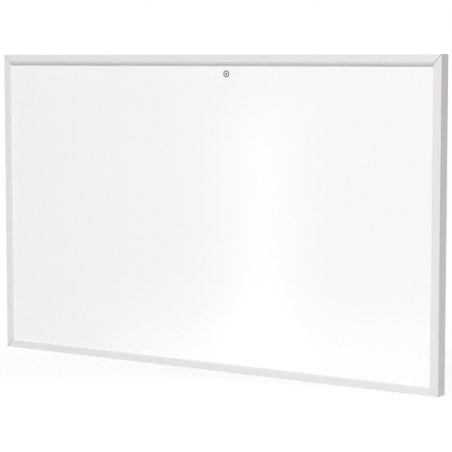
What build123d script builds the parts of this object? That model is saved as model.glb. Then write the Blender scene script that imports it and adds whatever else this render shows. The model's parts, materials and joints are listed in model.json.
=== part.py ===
from build123d import *
import os

os.makedirs("parts", exist_ok=True)

# Infrared panel heater, in millimetres.
#
# A powder-coated radiant plate is held in a frame of mitred aluminium extrusion. Behind it lie
# a heating film, a board of insulation with the wiring in its grooves, and a steel rear cover.
# Four keyhole brackets hang the panel on the wall, and a terminal box takes the supply cord.
#
# +X is to the right seen from the front, +Y points into the wall and +Z is up. The origin is
# the middle of the four keyholes, on the wall plane.

# ---- Whole panel ----
panel_width = 1000.0
panel_height = 600.0
frame_depth = 25.0

# ---- Frame extrusion ----
frame_wall = 1.5
front_arris = 0.5  # radius of the outer front edge
lip_flat = 12.4  # flat part of the front lip
lip_width = 16.2  # whole front lip, with its rounded inner edge
lip_round_drop = 0.8  # how far the rounded edge falls back towards the plate
plate_recess = 3.4  # from the frame's front down to the plate
ledge_reach = 12.8  # from the frame's outer face to the free edge of the ledge
ledge_gap = 3.3  # between the ledge and the channel of the corner keys
channel_width = 10.0
mitre_joint = 0.3  # joint line between two mitred ends

# ---- Radiant plate and its tape ----
plate_thickness = 1.5
plate_edge_gap = 1.5  # room for the plate to grow when hot
plate_corner = 2.0
tape_thickness = 0.8
tape_width = 8.0
tape_setback = 0.8  # from the plate's edge to the tape

# ---- Heating film ----
film_thickness = 0.3
film_clearance = 2.0  # between the film's edge and the frame's ledge
track_thickness = 0.2
track_width = 16.0
track_runs = 26  # upright runs of the meander, an even number
track_margin = 6.0  # from the film's edge to the track
track_feeder_gap = 8.0  # between the bottom links and the feeder lines
foil_thickness = 0.2

# ---- Insulation board ----
board_clearance = 1.2  # between the board and the frame's channel
groove_clearance = 0.8  # round the leads and the wiring pieces
pocket_clearance = 2.0  # round the pieces that stand in a pocket

# ---- Rear cover ----
cover_thickness = 1.0
cover_clearance = 0.5
cover_corner = 1.5

# ---- Corner keys ----
key_clearance = 0.25
key_arm = 48.0  # from the frame's outer corner to the tip of an arm
key_chamfer = 2.0
key_screw_place = 32.0  # from the frame's outer corner
key_screw_radius = 1.45
key_screw_head_radius = 2.75
key_screw_tip_gap = 2.5  # from the screw's tip to the far face of the key

# ---- Screws in general ----
thread_clearance = 0.05
shank_clearance = 0.3
loose_fit = 0.1  # between pieces that slide into each other
drill_over = 0.5  # how far a drilled hole runs past the sheet

# ---- Rear cover screws ----
cover_screw_radius = 1.95
cover_screw_length = 8.0
cover_screw_head_radius = 3.7
cover_screw_head_height = 2.4
cover_screw_end_gap = 100.0  # from the corner to the first screw
long_side_screws = 5
short_side_screws = 3

# ---- Supply gland ----
gland_across_flats = 19.0
gland_side_clearance = 0.75
gland_thread_radius = 7.9
gland_flange = 5.0
gland_nut = 4.0
gland_thread_over = 1.5  # thread left standing past the lock nut
gland_spigot_radius = 7.2
gland_spigot = 9.0
gland_passage_radius = 4.6
gland_seal_radius = 6.1
gland_seal_bore = 3.6  # radius
gland_seal_length = 8.0
gland_dome_gap = 1.5  # between the flange and the dome nut
gland_dome_end = 2.0
gland_dome_chamfer = 2.0

# ---- Terminal box ----
box_width = 96.0
box_height = 64.0
box_from_edge = 110.0  # from the panel's lower edge up to the middle of the box
box_wall = 2.5
box_floor = 2.0
box_corner = 6.0
box_lid = 2.5
box_seal = 0.8
box_boss_radius = 4.2
box_boss_inset = 5.0  # from the box's outer faces to a boss's middle
box_to_wall = 3.0  # room behind the lid
lid_rib = 1.5
lid_rib_depth = 2.0
lid_rib_clearance = 0.4
rib_nut_room = 6.0  # opening in the lower rib, more than the lock nut's width across flats
lid_screw_radius = 1.45
lid_screw_length = 12.0
lid_screw_head_radius = 2.8
lid_screw_head_height = 1.5
box_screw_radius = 1.7
box_screw_length = 7.0
box_screw_head_radius = 3.2
box_screw_head_height = 2.0
box_screw_place = 34.0  # from the box's middle

# ---- Terminal block ----
pole_pitch = 10.0
block_height = 18.0
block_depth = 12.5
block_end = 2.0  # wall outside the last pole
block_gap = 5.0  # between the gland's thread and the block
block_pad = 3.0
block_slit = 1.6
block_slit_depth = 5.0
clamp_radius = 2.8
clamp_bore = 1.7
clamp_setback = 1.0
clamp_height = 5.0  # middle of a clamp, above the pad
clamp_screw_radius = 1.4
clamp_screw_head_radius = 1.9
clamp_screw_head_height = 1.6
clamp_screw_place = 4.5  # from the block's middle
block_screw_radius = 1.2
block_screw_head_radius = 2.1
block_screw_head_height = 1.4
block_screw_hold = 3.5  # how deep it goes into the pad

# ---- Leads and their fittings ----
lead_radius = 1.2
lead_bend = 4.0
lead_in_clamp = 5.0
grommet_wall_gap = 1.7  # between the grommet and the box's upper wall
grommet_bore = 6.5
grommet_neck = 8.0
grommet_flange = 9.8
grommet_flange_height = 1.4
grommet_fit = 0.15
grommet_lead_pitch = 4.0
spade_width = 6.3
spade_thickness = 0.8
sleeve_width = 8.4
sleeve_thickness = 3.6
sleeve_length = 13.0
sleeve_grip = 8.4  # depth of the sleeve's socket
sleeve_fit = 0.2
sleeve_corner = 0.8

# ---- Thermal cut-outs and track terminals ----
cutout_place_x = 75.0
cutout_below_grommet = 33.0
cutout_cap_radius = 8.0
cutout_cap = 3.5
cutout_body_radius = 7.2
cutout_body = 5.6
cutout_spade = 16.0  # from the middle to the tip of a spade
cutout_sleeve_start = 8.4
terminal_place_x = 24.0
terminal_foot = 12.0
terminal_spade = 9.5
terminal_sleeve_start = 1.6
terminal_bend = 0.6

# ---- Earth connection ----
stud_above_grommet = 34.0
stud_radius = 1.95
stud_length = 12.0
earth_nut_flats = 7.0
earth_nut_height = 3.2
tag_radius = 4.2
tag_thickness = 0.8
tag_reach = 11.0  # from the stud to the end of the tag's barrel
tag_barrel_radius = 1.6
toothed_washer_radius = 3.9
toothed_washer_thickness = 0.6
tooth_count = 8
tooth_notch = 0.8

# ---- Hanger brackets ----
hanger_inset_x = 150.0  # from the panel's side edges to the keyholes
hanger_inset_z = 100.0  # from the panel's upper and lower edges to the keyholes
hanger_sheet = 1.5
hanger_bend = 1.5
hanger_face = 50.0  # width of the raised face
hanger_foot = 16.0
hanger_below = 12.0  # from the keyhole's entry down to the bracket's lower edge
hanger_height = 38.0
hanger_foot_corner = 3.0
keyhole_entry = 5.5  # radius
keyhole_slot = 2.75  # radius
keyhole_rise = 12.0
rivet_radius = 2.0
rivet_head_radius = 3.9
rivet_crown_radius = 1.8  # flat top of the head
rivet_head_height = 1.5
rivet_tail_radius = 2.9
rivet_tail = 3.0
rivet_place_x = 8.5  # from the outer edge of a foot
rivet_pitch = 22.0

# ---- Levels, from the wall plane at y = 0 towards the front ----
box_inner = gland_across_flats + 2 * gland_side_clearance
wall_gap = box_floor + box_inner + box_lid + box_to_wall
y_front = -(wall_gap + frame_depth)
y_lip_edge = y_front + lip_round_drop
y_plate = y_front + plate_recess
y_plate_back = y_plate + plate_thickness
y_track = y_plate_back + film_thickness
y_track_back = y_track + track_thickness
y_film_back = y_track_back + film_thickness
y_foil_back = y_film_back + foil_thickness
y_ledge = y_plate_back + tape_thickness
y_channel = y_ledge + frame_wall + ledge_gap
y_cover_back = -wall_gap
y_cover = y_cover_back - cover_thickness
y_flange = y_cover - frame_wall
y_box_floor = y_cover_back + box_floor
y_box_rim = y_box_floor + box_inner - box_seal
y_lid = y_box_floor + box_inner
y_pad = y_box_floor + block_pad
y_clamp = y_pad + clamp_height
y_gland = y_box_floor + box_inner / 2
y_spade = y_film_back + cutout_cap + cutout_body
y_lead = y_spade + spade_thickness / 2

# ---- Places that several pieces share ----
# radius of the lip's inner edge, an arc that leaves the flat of the lip without a kink
lip_round = ((lip_width - lip_flat) ** 2 + lip_round_drop**2) / (2 * lip_round_drop)
channel_back_wall = channel_width + 2 * frame_wall
channel_middle = frame_wall + channel_width / 2
film_edge = ledge_reach + film_clearance
track_edge = film_edge + track_margin
track_width_whole = panel_width - 2 * track_edge
track_height_whole = panel_height - 2 * track_edge
track_pitch = (track_width_whole - track_width) / (track_runs - 1)
z_feeder = -track_height_whole / 2 + track_width / 2
hanger_spacing_x = panel_width - 2 * hanger_inset_x
hanger_spacing_z = panel_height - 2 * hanger_inset_z
z_box = box_from_edge - panel_height / 2
z_box_top = z_box + box_height / 2
z_box_bottom = z_box - box_height / 2
z_grommet = z_box_top - box_wall - grommet_wall_gap - grommet_flange
z_stud = z_grommet + stud_above_grommet
z_cutout = z_grommet - cutout_below_grommet
z_inner_nut = z_box_bottom + box_wall
z_thread = z_inner_nut + gland_nut + gland_thread_over
z_block = z_thread + block_gap + block_height / 2


def save(piece, name):
    """Labels a finished piece and writes it to its own file."""
    piece.part.label = name
    export_step(piece.part, f"parts/{name}.step")


def facing_wall(x, y, z):
    """A workplane that looks at the wall, with its own x to the left and its own y upwards."""
    return Plane((x, y, z), x_dir=(-1, 0, 0), z_dir=(0, 1, 0))


def level_block(x_low, x_high, z_low, z_high):
    """Adds the rectangle between these bounds to a sketch on a plane that faces the wall."""
    with Locations((-(x_low + x_high) / 2, (z_low + z_high) / 2)):
        Rectangle(x_high - x_low, z_high - z_low)


def spread(length, count, end_gap):
    """The places of a row of screws along a side, measured from its middle."""
    step = (length - 2 * end_gap) / (count - 1)
    return [end_gap - length / 2 + index * step for index in range(count)]


def headed_screws(name, places, radius, length, head_radius, head_height):
    """A set of screws whose heads seat on the places, with their shanks going inwards."""
    with BuildPart() as screws:
        with Locations(*places):
            Cylinder(radius, length, align=(Align.CENTER, Align.CENTER, Align.MAX))
            Cylinder(head_radius, head_height, align=(Align.CENTER, Align.CENTER, Align.MIN))
    save(screws, name)


# ---- Frame: four mitred lengths of one extrusion ----
# On each workplane x runs inwards from the frame's outer face and y towards the wall.
frame_sides = {
    "top": (
        Plane((0, 0, panel_height / 2), x_dir=(0, 0, -1), z_dir=(1, 0, 0)),
        panel_width,
        long_side_screws,
    ),
    "bottom": (
        Plane((0, 0, -panel_height / 2), x_dir=(0, 0, 1), z_dir=(-1, 0, 0)),
        panel_width,
        long_side_screws,
    ),
    "left": (
        Plane((-panel_width / 2, 0, 0), x_dir=(1, 0, 0), z_dir=(0, 0, 1)),
        panel_height,
        short_side_screws,
    ),
    "right": (
        Plane((panel_width / 2, 0, 0), x_dir=(-1, 0, 0), z_dir=(0, 0, -1)),
        panel_height,
        short_side_screws,
    ),
}


def on_flange(side, along):
    """A workplane on the rear face of a side's flange, in the middle of the key channel."""
    point = side.from_local_coords((channel_middle, y_cover, along))
    return Plane(point, z_dir=(0, 1, 0))


def mitre(side, length, end):
    """The cutting plane of one mitred end, half a joint short of the corner's diagonal."""
    normal = (side.x_dir + side.z_dir * end).normalized()
    corner = side.origin + side.z_dir * (end * length / 2)
    return Plane(corner - normal * (mitre_joint / 2), z_dir=normal)


cover_screw_places = []
key_screw_places = []
for name, (side, length, screw_count) in frame_sides.items():
    along_cover_screws = spread(length, screw_count, cover_screw_end_gap)
    along_key_screws = spread(length, 2, key_screw_place)
    cover_screws_here = [on_flange(side, along) for along in along_cover_screws]
    key_screws_here = [on_flange(side, along) for along in along_key_screws]
    cover_screw_places += cover_screws_here
    key_screw_places += key_screws_here
    with BuildPart() as frame_side:
        with BuildSketch(side) as section:
            with BuildLine():
                # from the foot of the lip's inner wall, over its rounded edge, to the frame's rear edge
                Line((lip_width, y_plate), (lip_width, y_lip_edge))
                RadiusArc((lip_width, y_lip_edge), (lip_flat, y_front), lip_round)
                Polyline((lip_flat, y_front), (0, y_front), (0, y_cover_back))
                offset(amount=frame_wall, kind=Kind.INTERSECTION, side=Side.RIGHT)
            make_face()
            fillet(section.vertices().sort_by_distance((0, y_front))[0], front_arris)
            with Locations((ledge_reach / 2, y_ledge + frame_wall / 2)):
                Rectangle(ledge_reach, frame_wall)
            with Locations((channel_back_wall / 2, (y_channel + y_cover) / 2)):
                Rectangle(channel_back_wall, y_cover - y_channel)
            with Locations((channel_middle, (y_channel + frame_wall + y_flange) / 2)):
                Rectangle(channel_width, y_flange - y_channel - frame_wall, mode=Mode.SUBTRACT)
        extrude(amount=length / 2, both=True)
        for end in (-1, 1):
            split(bisect_by=mitre(side, length, end), keep=Keep.BOTTOM)
        with Locations(*cover_screws_here):
            Hole(cover_screw_radius + thread_clearance, frame_wall + drill_over)
        with Locations(*key_screws_here):
            CounterSinkHole(
                key_screw_radius + loose_fit,
                key_screw_head_radius + loose_fit,
                frame_wall + drill_over,
                counter_sink_angle=90,
            )
    save(frame_side, f"frame_{name}")

# ---- Corner keys: an angle piece in the channel of each corner ----
key_start = frame_wall + key_clearance
key_width = channel_width - 2 * key_clearance
y_key = y_channel + frame_wall + key_clearance
key_depth = y_flange - key_clearance - y_key
corners = {
    "top_left": (-1, 1),
    "top_right": (1, 1),
    "bottom_left": (-1, -1),
    "bottom_right": (1, -1),
}
for name, (x_way, z_way) in corners.items():
    # the workplane's x and y both run inwards along the frame's outer faces
    corner_plane = Plane(
        (x_way * panel_width / 2, y_key, z_way * panel_height / 2),
        x_dir=(-x_way, 0, 0),
        z_dir=(0, -x_way * z_way, 0),
    )
    with BuildPart() as corner_key:
        with BuildSketch(corner_plane) as angle:
            with BuildLine():
                Polyline(
                    (key_start, key_start),
                    (key_arm, key_start),
                    (key_arm, key_start + key_width),
                    (key_start + key_width, key_start + key_width),
                    (key_start + key_width, key_arm),
                    (key_start, key_arm),
                    close=True,
                )
            make_face()
            outer_corners = angle.vertices().sort_by_distance((key_start + key_width,) * 2)[1:]
            chamfer(outer_corners, key_chamfer)
        extrude(amount=key_depth, dir=(0, 1, 0))
        with Locations(*[place.offset(-frame_wall) for place in key_screw_places]):
            Hole(key_screw_radius + thread_clearance, key_clearance + key_depth + drill_over)
    save(corner_key, f"corner_key_{name}")

key_screw_head = key_screw_head_radius - key_screw_radius
key_screw_length = frame_wall + key_clearance + key_depth - key_screw_tip_gap
with BuildPart() as key_screws:
    with Locations(*key_screw_places):
        Cylinder(
            key_screw_radius,
            key_screw_length,
            align=(Align.CENTER, Align.CENTER, Align.MAX),
        )
        Cone(
            key_screw_radius,
            key_screw_head_radius,
            key_screw_head,
            align=(Align.CENTER, Align.CENTER, Align.MAX),
        )
save(key_screws, "corner_key_screws")

# ---- Radiant plate ----
plate_edge = frame_wall + plate_edge_gap
with BuildPart() as radiant_plate:
    with BuildSketch(facing_wall(0, y_plate, 0)):
        RectangleRounded(panel_width - 2 * plate_edge, panel_height - 2 * plate_edge, plate_corner)
    extrude(amount=plate_thickness)
save(radiant_plate, "radiant_plate")

# ---- Tape strips that press the plate forward against the frame's lip ----
tape_edge = plate_edge + tape_setback
tape_sides = {"top": (0, 1), "bottom": (0, -1), "left": (-1, 0), "right": (1, 0)}
for name, (x_way, z_way) in tape_sides.items():
    upright = x_way != 0
    long_size = panel_height - 2 * (tape_edge + tape_width) if upright else panel_width - 2 * tape_edge
    x_middle = x_way * (panel_width / 2 - tape_edge - tape_width / 2)
    z_middle = z_way * (panel_height / 2 - tape_edge - tape_width / 2)
    with BuildPart() as tape:
        with BuildSketch(facing_wall(x_middle, y_plate_back, z_middle)):
            Rectangle(tape_width if upright else long_size, long_size if upright else tape_width)
        extrude(amount=tape_thickness)
    save(tape, f"plate_tape_{name}")

# ---- Wiring places behind the film, on the left as -1 and on the right as 1 ----
poles = {"left": -1, "right": 1}
x_riser = terminal_place_x + terminal_foot / 2
x_terminal_sleeve = x_riser + terminal_sleeve_start
z_upper_sleeve = z_cutout + cutout_sleeve_start
z_lower_sleeve = z_cutout - cutout_sleeve_start


def through_pockets():
    """Adds the pockets that go right through the insulation, to a sketch that faces the wall."""
    half_sleeve = sleeve_width / 2 + pocket_clearance
    half_cutout = cutout_cap_radius + pocket_clearance
    cutout_end = cutout_sleeve_start + sleeve_length + pocket_clearance
    slot_half = grommet_flange + pocket_clearance
    for way in poles.values():
        x_cutout = way * cutout_place_x
        level_block(
            x_cutout - half_cutout,
            x_cutout + half_cutout,
            z_cutout - cutout_end,
            z_cutout + cutout_end,
        )
        x_near = way * (terminal_place_x - terminal_foot / 2 - pocket_clearance)
        x_far = way * (x_terminal_sleeve + sleeve_length + pocket_clearance)
        level_block(
            min(x_near, x_far),
            max(x_near, x_far),
            z_feeder - half_sleeve,
            z_feeder + half_sleeve,
        )
    level_block(-slot_half, slot_half, z_grommet - slot_half, z_stud + slot_half)


def plate_stud_hole():
    """Cuts the clearance hole of the earth stud out of a film, on a sketch that faces the wall."""
    with Locations((0, z_stud)):
        Circle(tag_radius + pocket_clearance, mode=Mode.SUBTRACT)


# ---- Heating film: insulating film, etched track, insulating film ----
film_width = panel_width - 2 * film_edge
film_height = panel_height - 2 * film_edge
with BuildPart() as front_film:
    with BuildSketch(facing_wall(0, y_plate_back, 0)):
        Rectangle(film_width, film_height)
        plate_stud_hole()
    extrude(amount=film_thickness)
save(front_film, "front_insulating_film")

half_runs = track_runs // 2
link_length = track_pitch + track_width
z_top_link = track_height_whole / 2 - track_width / 2
z_bottom_link = z_feeder + track_width + track_feeder_gap
x_last_run = track_pitch * (track_runs - 1) / 2
with BuildPart() as heating_track:
    with BuildSketch(facing_wall(0, y_track, 0)):
        with Locations((0, (z_top_link + z_bottom_link) / 2)):
            with GridLocations(track_pitch, 0, track_runs, 1):
                Rectangle(track_width, z_top_link - z_bottom_link + track_width)
        with Locations((0, z_top_link)):
            with GridLocations(2 * track_pitch, 0, half_runs, 1):
                Rectangle(link_length, track_width)
        with Locations((0, z_bottom_link)):
            with GridLocations(2 * track_pitch, 0, half_runs - 1, 1):
                Rectangle(link_length, track_width)
        for way in poles.values():
            x_inner = way * (terminal_place_x - terminal_foot / 2)
            x_outer = way * (x_last_run + track_width / 2)
            x_run = way * (x_last_run - track_width / 2)
            z_low = z_feeder - track_width / 2
            z_high = z_feeder + track_width / 2
            level_block(min(x_inner, x_outer), max(x_inner, x_outer), z_low, z_high)
            level_block(min(x_run, x_outer), max(x_run, x_outer), z_low, z_bottom_link)
        if half_runs % 2 == 0:
            level_block(
                -track_pitch / 2 + track_width / 2,
                track_pitch / 2 - track_width / 2,
                z_bottom_link - track_width / 2,
                z_bottom_link + track_width / 2,
            )
    extrude(amount=track_thickness)
save(heating_track, "heating_track")

with BuildPart() as rear_film:
    with BuildSketch(facing_wall(0, y_track_back, 0)):
        Rectangle(film_width, film_height)
        plate_stud_hole()
        with Locations((-terminal_place_x, z_feeder), (terminal_place_x, z_feeder)):
            Rectangle(
                terminal_foot + 2 * pocket_clearance,
                spade_width + 2 * pocket_clearance,
                mode=Mode.SUBTRACT,
            )
    extrude(amount=film_thickness)
save(rear_film, "rear_insulating_film")

# ---- Reflective foil and insulation board ----
board_edge = channel_back_wall + board_clearance
board_width = panel_width - 2 * board_edge
board_height = panel_height - 2 * board_edge
board_thickness = y_cover - y_foil_back
with BuildPart() as reflective_foil:
    with BuildSketch(facing_wall(0, y_film_back, 0)):
        Rectangle(board_width, board_height)
        with BuildSketch(mode=Mode.SUBTRACT):
            through_pockets()
    extrude(amount=foil_thickness)
save(reflective_foil, "reflective_foil")

hanger_places = {
    name: (x_way * hanger_spacing_x / 2, z_way * hanger_spacing_z / 2)
    for name, (x_way, z_way) in corners.items()
}
hanger_half = hanger_face / 2 + hanger_foot
z_rivets = hanger_height / 2 - hanger_below  # middle of the rivets, from the keyhole's entry
rivet_points = {
    name: [
        (x + x_way * (hanger_half - rivet_place_x), z + z_rivets + z_way * rivet_pitch / 2)
        for x_way in (-1, 1)
        for z_way in (-1, 1)
    ]
    for name, (x, z) in hanger_places.items()
}
all_rivet_points = [point for points in rivet_points.values() for point in points]
box_screw_points = [(way * box_screw_place, z_box) for way in poles.values()]
groove_half = lead_radius + groove_clearance
y_groove = y_lead - groove_half
with BuildPart() as insulation_board:
    with BuildSketch(facing_wall(0, y_foil_back, 0)):
        Rectangle(board_width, board_height)
        with BuildSketch(mode=Mode.SUBTRACT):
            through_pockets()
    extrude(amount=board_thickness)
    # grooves of the leads, open towards the rear cover
    with BuildSketch(facing_wall(0, y_groove, 0)):
        level_block(
            -cutout_place_x - groove_half,
            cutout_place_x + groove_half,
            z_grommet - groove_half,
            z_grommet + groove_half,
        )
        for way in poles.values():
            x_lead = way * cutout_place_x
            x_sleeve = way * (x_terminal_sleeve + sleeve_length)
            level_block(
                x_lead - groove_half,
                x_lead + groove_half,
                z_feeder - groove_half,
                z_grommet + groove_half,
            )
            level_block(
                min(x_lead, x_sleeve),
                max(x_lead, x_sleeve),
                z_feeder - groove_half,
                z_feeder + groove_half,
            )
    extrude(amount=y_cover - y_groove, mode=Mode.SUBTRACT)
    # room for the tails of the rivets and of the box's screws
    with Locations(*[facing_wall(x, y_cover, z) for x, z in all_rivet_points]):
        Hole(rivet_tail_radius + pocket_clearance, rivet_tail + pocket_clearance)
    with Locations(*[facing_wall(x, y_cover, z) for x, z in box_screw_points]):
        Hole(box_screw_radius + pocket_clearance, box_screw_length)
save(insulation_board, "insulation_board")

# ---- Rear cover ----
cover_edge = frame_wall + cover_clearance
with BuildPart() as rear_cover:
    with BuildSketch(facing_wall(0, y_cover, 0)):
        RectangleRounded(panel_width - 2 * cover_edge, panel_height - 2 * cover_edge, cover_corner)
    extrude(amount=cover_thickness)
    cover_depth = cover_thickness + drill_over
    with Locations(*[place.offset(cover_thickness) for place in cover_screw_places]):
        Hole(cover_screw_radius + shank_clearance, cover_depth)
    with Locations(*[facing_wall(x, y_cover_back, z) for x, z in all_rivet_points]):
        Hole(rivet_radius + loose_fit, cover_depth)
    with Locations(*[facing_wall(x, y_cover_back, z) for x, z in box_screw_points]):
        Hole(box_screw_radius + thread_clearance, cover_depth)
    with Locations(facing_wall(0, y_cover_back, z_grommet)):
        Hole(grommet_neck + grommet_fit, cover_depth)
save(rear_cover, "rear_cover")

headed_screws(
    "rear_cover_screws",
    [place.offset(cover_thickness) for place in cover_screw_places],
    cover_screw_radius,
    cover_screw_length,
    cover_screw_head_radius,
    cover_screw_head_height,
)

# ---- Hanger brackets: hat-shaped pressings with a keyhole in the raised face ----
for name, (x, z) in hanger_places.items():
    z_low = z - hanger_below
    with BuildPart() as hanger:
        with BuildSketch(Plane((x, 0, z_low))):
            with BuildLine():
                # the side of the sheet that looks at the rear cover
                FilletPolyline(
                    (-hanger_half, y_cover_back),
                    (-hanger_face / 2, y_cover_back),
                    (-hanger_face / 2, -hanger_sheet),
                    (hanger_face / 2, -hanger_sheet),
                    (hanger_face / 2, y_cover_back),
                    (hanger_half, y_cover_back),
                    radius=hanger_bend,
                )
                offset(amount=hanger_sheet, side=Side.LEFT)
            make_face()
        extrude(amount=hanger_height)
        foot_ends = hanger.edges().filter_by(Axis.Y).group_by(Axis.X)
        fillet(foot_ends[0] + foot_ends[-1], hanger_foot_corner)
        with BuildSketch(facing_wall(x, 0, z)):
            Circle(keyhole_entry)
            with Locations((0, keyhole_rise / 2)):
                Rectangle(2 * keyhole_slot, keyhole_rise)
            with Locations((0, keyhole_rise)):
                Circle(keyhole_slot)
        extrude(amount=-hanger_sheet, mode=Mode.SUBTRACT)
        with Locations(
            *[facing_wall(a, y_cover_back + hanger_sheet, b) for a, b in rivet_points[name]]
        ):
            Hole(rivet_radius + loose_fit, hanger_sheet + drill_over)
    save(hanger, f"hanger_bracket_{name}")

# Each blind rivet is turned from its half section: coned head, shank and swollen tail.
rivet_grip = hanger_sheet + cover_thickness
y_rivet = y_cover_back + hanger_sheet
with BuildPart() as rivets:
    for x, z in all_rivet_points:
        with BuildSketch(Plane((x, y_rivet, z), x_dir=(1, 0, 0), z_dir=(0, 0, 1))):
            with BuildLine():
                Polyline(
                    (0, -rivet_grip - rivet_tail),
                    (rivet_radius, -rivet_grip - rivet_tail),
                    (rivet_tail_radius, -rivet_grip),
                    (rivet_radius, -rivet_grip),
                    (rivet_radius, 0),
                    (rivet_head_radius, 0),
                    (rivet_crown_radius, rivet_head_height),
                    (0, rivet_head_height),
                    close=True,
                )
            make_face()
        revolve(axis=Axis((x, y_rivet, z), (0, 1, 0)))
save(rivets, "hanger_rivets")

# ---- Terminal box ----
boss_points = [
    (x_way * (box_width / 2 - box_boss_inset), z_way * (box_height / 2 - box_boss_inset))
    for x_way in (-1, 1)
    for z_way in (-1, 1)
]


def box_plane(y):
    """A workplane in the middle of the terminal box, at the level y."""
    return facing_wall(0, y, z_box)


def box_wall_ring():
    """Adds the outline of the box's walls and screw bosses, seen from the rear."""
    RectangleRounded(box_width, box_height, box_corner)
    RectangleRounded(
        box_width - 2 * box_wall,
        box_height - 2 * box_wall,
        box_corner - box_wall,
        mode=Mode.SUBTRACT,
    )
    with Locations(*boss_points):
        Circle(box_boss_radius)


rim_plane = box_plane(y_box_rim)
boss_planes = [Plane(rim_plane.from_local_coords((a, b, 0)), z_dir=(0, 1, 0)) for a, b in boss_points]
lid_screw_planes = [plane.offset(box_seal + box_lid) for plane in boss_planes]
block_width = 3 * pole_pitch + 2 * block_end
with BuildPart() as box_base:
    with BuildSketch(box_plane(y_cover_back)):
        RectangleRounded(box_width, box_height, box_corner)
    extrude(amount=box_floor)
    with BuildSketch(box_plane(y_cover_back)):
        box_wall_ring()
    extrude(amount=y_box_rim - y_cover_back)
    with BuildSketch(facing_wall(0, y_box_floor, z_block)):
        Rectangle(block_width, block_height)
    extrude(amount=block_pad)
    with Locations(*boss_planes):
        Hole(lid_screw_radius + thread_clearance, lid_screw_length)
    with Locations(*[facing_wall(x, y_box_floor, z) for x, z in box_screw_points]):
        Hole(box_screw_radius + shank_clearance, box_floor + drill_over)
    with Locations(*[facing_wall(way * pole_pitch / 2, y_pad, z_block) for way in poles.values()]):
        Hole(block_screw_radius + thread_clearance, block_screw_hold + drill_over)
    with Locations(facing_wall(0, y_box_floor, z_grommet)):
        Hole(grommet_neck + grommet_fit, box_floor + drill_over)
    with Locations(Plane((0, y_gland, z_box_bottom + box_wall))):
        Hole(gland_thread_radius + loose_fit, box_wall + drill_over)
save(box_base, "terminal_box_base")

with BuildPart() as box_seal_ring:
    with BuildSketch(box_plane(y_box_rim)):
        box_wall_ring()
    extrude(amount=box_seal)
    with Locations(*[plane.offset(box_seal) for plane in boss_planes]):
        Hole(lid_screw_radius + shank_clearance, box_seal + drill_over)
save(box_seal_ring, "terminal_box_seal")

with BuildPart() as box_cover:
    with BuildSketch(box_plane(y_lid)):
        RectangleRounded(box_width, box_height, box_corner)
    extrude(amount=box_lid)
    chamfer(box_cover.faces().sort_by(Axis.Y)[-1].edges(), box_lid / 4)
    # ribs that locate the lid between the bosses
    rib_x = box_width / 2 - box_wall - lid_rib_clearance - lid_rib / 2
    rib_z = box_height / 2 - box_wall - lid_rib_clearance - lid_rib / 2
    rib_short = 2 * (box_boss_inset + box_boss_radius + pocket_clearance)
    with BuildSketch(box_plane(y_lid)):
        with Locations((0, rib_z), (0, -rib_z)):
            Rectangle(box_width - rib_short, lid_rib)
        with Locations((rib_x, 0), (-rib_x, 0)):
            Rectangle(lid_rib, box_height - rib_short)
        # the lower rib stops short of the gland's lock nut
        with Locations((0, -rib_z)):
            Rectangle(gland_across_flats + rib_nut_room, 2 * lid_rib, mode=Mode.SUBTRACT)
    extrude(amount=-lid_rib_depth)
    with Locations(*lid_screw_planes):
        CounterBoreHole(
            lid_screw_radius + shank_clearance,
            lid_screw_head_radius + shank_clearance,
            lid_screw_head_height,
            box_lid + drill_over,
        )
save(box_cover, "terminal_box_lid")

headed_screws(
    "terminal_box_lid_screws",
    [plane.offset(-lid_screw_head_height) for plane in lid_screw_planes],
    lid_screw_radius,
    lid_screw_length,
    lid_screw_head_radius,
    lid_screw_head_height,
)
headed_screws(
    "terminal_box_fixing_screws",
    [facing_wall(x, y_box_floor, z) for x, z in box_screw_points],
    box_screw_radius,
    box_screw_length,
    box_screw_head_radius,
    box_screw_head_height,
)

# ---- Grommet: a rubber ring that holds the rear cover and the box's floor in its groove ----
with BuildPart() as grommet:
    with BuildSketch(Plane((0, 0, z_grommet))):
        with BuildLine():
            Polyline(
                (grommet_bore, y_cover - grommet_flange_height),
                (grommet_flange, y_cover - grommet_flange_height),
                (grommet_flange, y_cover),
                (grommet_neck, y_cover),
                (grommet_neck, y_box_floor),
                (grommet_flange, y_box_floor),
                (grommet_flange, y_box_floor + grommet_flange_height),
                (grommet_bore, y_box_floor + grommet_flange_height),
                close=True,
            )
        make_face()
    revolve(axis=Axis((0, 0, z_grommet), (0, 1, 0)))
    rims = grommet.faces().filter_by(Axis.Y).sort_by(Axis.Y)
    chamfer(rims[0].edges() + rims[-1].edges(), grommet_flange_height / 3)
save(grommet, "lead_grommet")

# ---- Terminal block: insulating body, brass clamps, screws ----
pole_places = [-pole_pitch, 0, pole_pitch]
y_block_back = y_pad + block_depth
clamp_screw_places = [
    facing_wall(x, y_clamp, z_block + way * clamp_screw_place)
    for x in pole_places
    for way in poles.values()
]
block_screw_places = [facing_wall(way * pole_pitch / 2, y_block_back, z_block) for way in poles.values()]
with BuildPart() as block_body:
    with BuildSketch(facing_wall(0, y_pad, z_block)):
        Rectangle(block_width, block_height)
    extrude(amount=block_depth)
    fillet(block_body.edges().filter_by(Axis.Y), block_end / 2)
    with Locations(*[Plane((x, y_clamp, z_block + block_height / 2)) for x in pole_places]):
        Hole(clamp_radius + loose_fit, block_height)
    with Locations(*[place.offset(y_block_back - y_clamp) for place in clamp_screw_places]):
        Hole(clamp_screw_head_radius + loose_fit, y_block_back - y_clamp)
    # slits between the poles lengthen the creepage path
    with BuildSketch(facing_wall(0, y_block_back, z_block)):
        with GridLocations(pole_pitch, block_height, 2, 2):
            Rectangle(block_slit, block_height / 2)
    extrude(amount=-block_slit_depth, mode=Mode.SUBTRACT)
    with Locations(*block_screw_places):
        Hole(block_screw_radius + thread_clearance, block_depth)
save(block_body, "terminal_block_body")

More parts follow.
